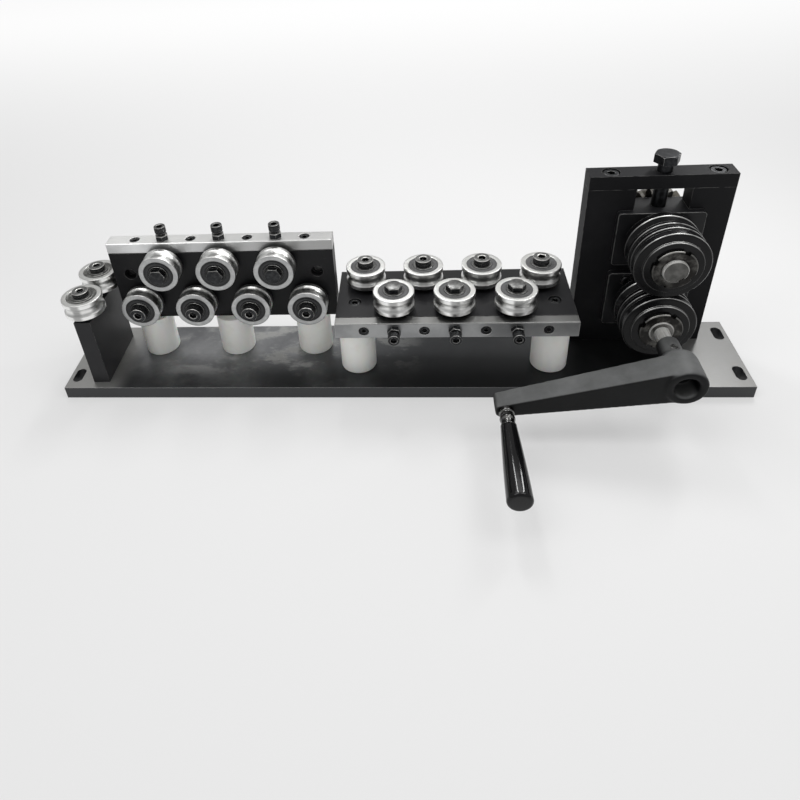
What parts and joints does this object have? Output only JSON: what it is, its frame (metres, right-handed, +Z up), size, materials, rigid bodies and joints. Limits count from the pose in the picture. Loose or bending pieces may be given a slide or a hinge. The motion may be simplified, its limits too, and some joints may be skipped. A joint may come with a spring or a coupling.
{
  "type": "wire straightener",
  "caption": "Hand cranked bench wire straightener with an entry guide, two grooved roller units set square to each other and geared feed rolls.",
  "frame": {"origin": "centre of the base plate's underside", "axes": "+X along the wire from the entry guide to the feed rolls, +Y to the back, away from the crank handle, +Z up"},
  "size_m": [0.612, 0.2466, 0.1955],
  "materials": {
    "black_plate": "satin black on steel plate",
    "ground_bar": "ground flat bar",
    "roller_steel": "hardened and polished ring with dark seals",
    "black_oxide": "black oxide, worn bright on the edges",
    "bright_shaft": "turned and ground shaft",
    "feed_roll": "hardened, black oxide",
    "gear_steel": "oiled steel",
    "white_nylon": "off-white nylon rod",
    "cast_crank": "dark grey satin casting",
    "grip_plastic": "glossy black moulding"
  },
  "bodies": {
    "frame": {"base_plate": "black_plate", "nylon_posts": "white_nylon", "cap_screws": "black_oxide", "entry_post": "black_plate", "fixed_axles": "black_oxide", "upright_plate": "black_plate", "upright_bar": "ground_bar", "flat_plate": "black_plate", "flat_bar": "ground_bar", "lock_nuts": "black_oxide", "drive_plate": "black_plate", "drive_cap": "black_plate", "lower_housing": "black_plate"},
    "guide_roller_front": {"guide_roller_front": "roller_steel"},
    "guide_roller_back": {"guide_roller_back": "roller_steel"},
    "upright_fixed_roller_1": {"upright_fixed_roller_1": "roller_steel"},
    "upright_fixed_roller_2": {"upright_fixed_roller_2": "roller_steel"},
    "upright_fixed_roller_3": {"upright_fixed_roller_3": "roller_steel"},
    "upright_fixed_roller_4": {"upright_fixed_roller_4": "roller_steel"},
    "flat_fixed_roller_1": {"flat_fixed_roller_1": "roller_steel"},
    "flat_fixed_roller_2": {"flat_fixed_roller_2": "roller_steel"},
    "flat_fixed_roller_3": {"flat_fixed_roller_3": "roller_steel"},
    "flat_fixed_roller_4": {"flat_fixed_roller_4": "roller_steel"},
    "upright_slide_1": {"upright_carrier_1": "black_oxide", "upright_axle_1": "black_oxide"},
    "upright_press_roller_1": {"upright_press_roller_1": "roller_steel"},
    "upright_screw_1": {"upright_screw_1": "black_oxide"},
    "upright_slide_2": {"upright_carrier_2": "black_oxide", "upright_axle_2": "black_oxide"},
    "upright_press_roller_2": {"upright_press_roller_2": "roller_steel"},
    "upright_screw_2": {"upright_screw_2": "black_oxide"},
    "upright_slide_3": {"upright_carrier_3": "black_oxide", "upright_axle_3": "black_oxide"},
    "upright_press_roller_3": {"upright_press_roller_3": "roller_steel"},
    "upright_screw_3": {"upright_screw_3": "black_oxide"},
    "flat_slide_1": {"flat_carrier_1": "black_oxide", "flat_axle_1": "black_oxide"},
    "flat_press_roller_1": {"flat_press_roller_1": "roller_steel"},
    "flat_screw_1": {"flat_screw_1": "black_oxide"},
    "flat_slide_2": {"flat_carrier_2": "black_oxide", "flat_axle_2": "black_oxide"},
    "flat_press_roller_2": {"flat_press_roller_2": "roller_steel"},
    "flat_screw_2": {"flat_screw_2": "black_oxide"},
    "flat_slide_3": {"flat_carrier_3": "black_oxide", "flat_axle_3": "black_oxide"},
    "flat_press_roller_3": {"flat_press_roller_3": "roller_steel"},
    "flat_screw_3": {"flat_screw_3": "black_oxide"},
    "lower_drive": {"lower_shaft": "bright_shaft", "lower_roll": "feed_roll", "lower_nut": "black_oxide", "lower_gear": "gear_steel", "crank_arm": "cast_crank", "crank_pins": "bright_shaft"},
    "upper_slide": {"upper_housing": "black_plate"},
    "upper_drive": {"upper_shaft": "bright_shaft", "upper_roll": "feed_roll", "upper_nut": "black_oxide", "upper_gear": "gear_steel"},
    "pressure_screw": {"pressure_screw": "black_oxide"},
    "grip": {"handle_grip": "grip_plastic"}
  },
  "joints": [
    {"name": "guide_spin_front", "type": "hinge", "parent": "frame", "child": "guide_roller_front", "pos_m": [-0.2725, -0.02325, 0.0935], "axis": [0, 0, 1], "continuous": true},
    {"name": "guide_spin_back", "type": "hinge", "parent": "frame", "child": "guide_roller_back", "pos_m": [-0.2725, 0.01725, 0.0935], "axis": [0, 0, 1], "continuous": true},
    {"name": "upright_fixed_spin_1", "type": "hinge", "parent": "frame", "child": "upright_fixed_roller_1", "pos_m": [-0.2295, -0.003, 0.074], "axis": [0, 1, 0], "continuous": true},
    {"name": "upright_fixed_spin_2", "type": "hinge", "parent": "frame", "child": "upright_fixed_roller_2", "pos_m": [-0.1785, -0.003, 0.074], "axis": [0, 1, 0], "continuous": true},
    {"name": "upright_fixed_spin_3", "type": "hinge", "parent": "frame", "child": "upright_fixed_roller_3", "pos_m": [-0.1275, -0.003, 0.074], "axis": [0, 1, 0], "continuous": true},
    {"name": "upright_fixed_spin_4", "type": "hinge", "parent": "frame", "child": "upright_fixed_roller_4", "pos_m": [-0.0765, -0.003, 0.074], "axis": [0, 1, 0], "continuous": true},
    {"name": "flat_fixed_spin_1", "type": "hinge", "parent": "frame", "child": "flat_fixed_roller_1", "pos_m": [-0.0245, 0.0165, 0.0935], "axis": [0, 0, 1], "continuous": true},
    {"name": "flat_fixed_spin_2", "type": "hinge", "parent": "frame", "child": "flat_fixed_roller_2", "pos_m": [0.0265, 0.0165, 0.0935], "axis": [0, 0, 1], "continuous": true},
    {"name": "flat_fixed_spin_3", "type": "hinge", "parent": "frame", "child": "flat_fixed_roller_3", "pos_m": [0.0775, 0.0165, 0.0935], "axis": [0, 0, 1], "continuous": true},
    {"name": "flat_fixed_spin_4", "type": "hinge", "parent": "frame", "child": "flat_fixed_roller_4", "pos_m": [0.1285, 0.0165, 0.0935], "axis": [0, 0, 1], "continuous": true},
    {"name": "upright_press_1", "type": "slide", "parent": "frame", "child": "upright_slide_1", "axis": [0, 0, 1], "range_m": [-0.0024, 0.003]},
    {"name": "upright_press_spin_1", "type": "hinge", "parent": "upright_slide_1", "child": "upright_press_roller_1", "pos_m": [-0.204, -0.003, 0.113], "axis": [0, 1, 0], "continuous": true},
    {"name": "upright_screw_turn_1", "type": "hinge", "parent": "upright_slide_1", "child": "upright_screw_1", "pos_m": [-0.204, 0.0169, 0.133], "axis": [0, 0, 1], "range_deg": [-865, 1081]},
    {"name": "upright_press_2", "type": "slide", "parent": "frame", "child": "upright_slide_2", "axis": [0, 0, 1], "range_m": [-0.0024, 0.003]},
    {"name": "upright_press_spin_2", "type": "hinge", "parent": "upright_slide_2", "child": "upright_press_roller_2", "pos_m": [-0.153, -0.003, 0.113], "axis": [0, 1, 0], "continuous": true},
    {"name": "upright_screw_turn_2", "type": "hinge", "parent": "upright_slide_2", "child": "upright_screw_2", "pos_m": [-0.153, 0.0169, 0.133], "axis": [0, 0, 1], "range_deg": [-865, 1081]},
    {"name": "upright_press_3", "type": "slide", "parent": "frame", "child": "upright_slide_3", "axis": [0, 0, 1], "range_m": [-0.0024, 0.003]},
    {"name": "upright_press_spin_3", "type": "hinge", "parent": "upright_slide_3", "child": "upright_press_roller_3", "pos_m": [-0.102, -0.003, 0.113], "axis": [0, 1, 0], "continuous": true},
    {"name": "upright_screw_turn_3", "type": "hinge", "parent": "upright_slide_3", "child": "upright_screw_3", "pos_m": [-0.102, 0.0169, 0.133], "axis": [0, 0, 1], "range_deg": [-865, 1081]},
    {"name": "flat_press_1", "type": "slide", "parent": "frame", "child": "flat_slide_1", "axis": [0, -1, 0], "range_m": [-0.0024, 0.003]},
    {"name": "flat_press_spin_1", "type": "hinge", "parent": "flat_slide_1", "child": "flat_press_roller_1", "pos_m": [0.001, -0.0225, 0.0935], "axis": [0, 0, 1], "continuous": true},
    {"name": "flat_screw_turn_1", "type": "hinge", "parent": "flat_slide_1", "child": "flat_screw_1", "pos_m": [0.001, -0.0425, 0.0736], "axis": [0, -1, 0], "range_deg": [-865, 1081]},
    {"name": "flat_press_2", "type": "slide", "parent": "frame", "child": "flat_slide_2", "axis": [0, -1, 0], "range_m": [-0.0024, 0.003]},
    {"name": "flat_press_spin_2", "type": "hinge", "parent": "flat_slide_2", "child": "flat_press_roller_2", "pos_m": [0.052, -0.0225, 0.0935], "axis": [0, 0, 1], "continuous": true},
    {"name": "flat_screw_turn_2", "type": "hinge", "parent": "flat_slide_2", "child": "flat_screw_2", "pos_m": [0.052, -0.0425, 0.0736], "axis": [0, -1, 0], "range_deg": [-865, 1081]},
    {"name": "flat_press_3", "type": "slide", "parent": "frame", "child": "flat_slide_3", "axis": [0, -1, 0], "range_m": [-0.0024, 0.003]},
    {"name": "flat_press_spin_3", "type": "hinge", "parent": "flat_slide_3", "child": "flat_press_roller_3", "pos_m": [0.103, -0.0225, 0.0935], "axis": [0, 0, 1], "continuous": true},
    {"name": "flat_screw_turn_3", "type": "hinge", "parent": "flat_slide_3", "child": "flat_screw_3", "pos_m": [0.103, -0.0425, 0.0736], "axis": [0, -1, 0], "range_deg": [-865, 1081]},
    {"name": "crank_turn", "type": "hinge", "parent": "frame", "child": "lower_drive", "pos_m": [0.222, 0, 0.063], "axis": [0, 1, 0], "continuous": true},
    {"name": "upper_press", "type": "slide", "parent": "frame", "child": "upper_slide", "axis": [0, 0, 1], "range_m": [-0.0008, 0.003]},
    {"name": "upper_turn", "type": "hinge", "parent": "upper_slide", "child": "upper_drive", "pos_m": [0.222, 0, 0.124], "axis": [0, 1, 0], "continuous": true},
    {"name": "pressure_turn", "type": "hinge", "parent": "upper_slide", "child": "pressure_screw", "pos_m": [0.222, 0.029, 0.18], "axis": [0, 0, 1], "range_deg": [-165.57, 618.14]},
    {"name": "grip_turn", "type": "hinge", "parent": "lower_drive", "child": "grip", "pos_m": [0.0895, -0.15, 0.0382], "axis": [0, 1, 0], "continuous": true}
  ],
  "couplings": [
    {"joint": "upright_screw_turn_1", "follows": "upright_press_1", "rad_per_m": 6283.2},
    {"joint": "upright_screw_turn_2", "follows": "upright_press_2", "rad_per_m": 6283.2},
    {"joint": "upright_screw_turn_3", "follows": "upright_press_3", "rad_per_m": 6283.2},
    {"joint": "flat_screw_turn_1", "follows": "flat_press_1", "rad_per_m": 6283.2},
    {"joint": "flat_screw_turn_2", "follows": "flat_press_2", "rad_per_m": 6283.2},
    {"joint": "flat_screw_turn_3", "follows": "flat_press_3", "rad_per_m": 6283.2},
    {"joint": "pressure_turn", "follows": "upper_press", "rad_per_m": 3590.4},
    {"joint": "upper_turn", "follows": "crank_turn", "ratio": -1}
  ]
}
